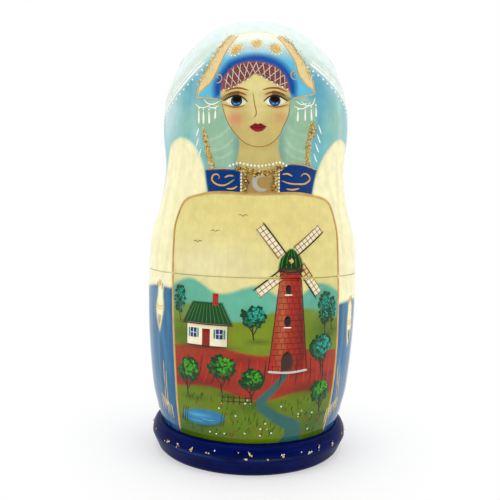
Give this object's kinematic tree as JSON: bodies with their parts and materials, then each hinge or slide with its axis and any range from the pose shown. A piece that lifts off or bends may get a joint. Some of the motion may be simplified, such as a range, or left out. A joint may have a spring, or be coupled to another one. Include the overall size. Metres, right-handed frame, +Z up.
{
  "type": "nesting doll",
  "caption": "Turned wooden nesting doll on a plinth: each doll parts at a spigot seam and holds a smaller one, down to a solid one.",
  "frame": {"origin": "centre of the plinth's underside, on the table", "axes": "+Z up along the axis of all the dolls, the painted face looks along -Y, +X to the viewer's right"},
  "size_m": [0.086, 0.086, 0.175],
  "materials": {
    "painted_veil": "tempera under gloss lacquer on linden",
    "painted_skirt": "tempera under gloss lacquer on linden",
    "painted_plinth": "navy gloss lacquer with gold flakes on linden"
  },
  "bodies": {
    "stand": {"plinth": "painted_plinth", "first_doll_lower": "painted_skirt"},
    "first_upper": {"first_doll_upper": "painted_veil"},
    "second_lower": {"second_doll_lower": "painted_skirt"},
    "second_upper": {"second_doll_upper": "painted_veil"},
    "third_lower": {"third_doll_lower": "painted_skirt"},
    "third_upper": {"third_doll_upper": "painted_veil"},
    "fourth_lower": {"fourth_doll_lower": "painted_skirt"},
    "fourth_upper": {"fourth_doll_upper": "painted_veil"},
    "fifth_lower": {"fifth_doll_lower": "painted_skirt"},
    "fifth_upper": {"fifth_doll_upper": "painted_veil"},
    "sixth_lower": {"sixth_doll_lower": "painted_skirt"},
    "sixth_upper": {"sixth_doll_upper": "painted_veil"},
    "seventh": {"seventh_doll": "painted_veil"}
  },
  "joints": [
    {"name": "open_first_doll", "type": "slide", "parent": "stand", "child": "first_upper", "axis": [0, 0, 1], "range_m": [0, 0.592]},
    {"name": "lift_out_second_doll", "type": "slide", "parent": "stand", "child": "second_lower", "axis": [0, 0, 1], "range_m": [0, 0.073]},
    {"name": "open_second_doll", "type": "slide", "parent": "second_lower", "child": "second_upper", "axis": [0, 0, 1], "range_m": [0, 0.43723]},
    {"name": "lift_out_third_doll", "type": "slide", "parent": "second_lower", "child": "third_lower", "axis": [0, 0, 1], "range_m": [0, 0.05915]},
    {"name": "open_third_doll", "type": "slide", "parent": "third_lower", "child": "third_upper", "axis": [0, 0, 1], "range_m": [0, 0.3124]},
    {"name": "lift_out_fourth_doll", "type": "slide", "parent": "third_lower", "child": "fourth_lower", "axis": [0, 0, 1], "range_m": [0, 0.0482]},
    {"name": "open_fourth_doll", "type": "slide", "parent": "fourth_lower", "child": "fourth_upper", "axis": [0, 0, 1], "range_m": [0, 0.21062]},
    {"name": "lift_out_fifth_doll", "type": "slide", "parent": "fourth_lower", "child": "fifth_lower", "axis": [0, 0, 1], "range_m": [0, 0.03955]},
    {"name": "open_fifth_doll", "type": "slide", "parent": "fifth_lower", "child": "fifth_upper", "axis": [0, 0, 1], "range_m": [0, 0.12704]},
    {"name": "lift_out_sixth_doll", "type": "slide", "parent": "fifth_lower", "child": "sixth_lower", "axis": [0, 0, 1], "range_m": [0, 0.03272]},
    {"name": "open_sixth_doll", "type": "slide", "parent": "sixth_lower", "child": "sixth_upper", "axis": [0, 0, 1], "range_m": [0, 0.05784]},
    {"name": "lift_out_seventh_doll", "type": "slide", "parent": "sixth_lower", "child": "seventh", "axis": [0, 0, 1], "range_m": [0, 0.02732]}
  ],
  "couplings": [
    {"joint": "lift_out_second_doll", "follows": "open_first_doll", "ratio": 0.12331},
    {"joint": "open_second_doll", "follows": "open_first_doll", "ratio": 0.73856},
    {"joint": "lift_out_third_doll", "follows": "open_first_doll", "ratio": 0.0999},
    {"joint": "open_third_doll", "follows": "open_first_doll", "ratio": 0.5277},
    {"joint": "lift_out_fourth_doll", "follows": "open_first_doll", "ratio": 0.08141},
    {"joint": "open_fourth_doll", "follows": "open_first_doll", "ratio": 0.35577},
    {"joint": "lift_out_fifth_doll", "follows": "open_first_doll", "ratio": 0.0668},
    {"joint": "open_fifth_doll", "follows": "open_first_doll", "ratio": 0.21458},
    {"joint": "lift_out_sixth_doll", "follows": "open_first_doll", "ratio": 0.05526},
    {"joint": "open_sixth_doll", "follows": "open_first_doll", "ratio": 0.09769},
    {"joint": "lift_out_seventh_doll", "follows": "open_first_doll", "ratio": 0.04614}
  ]
}
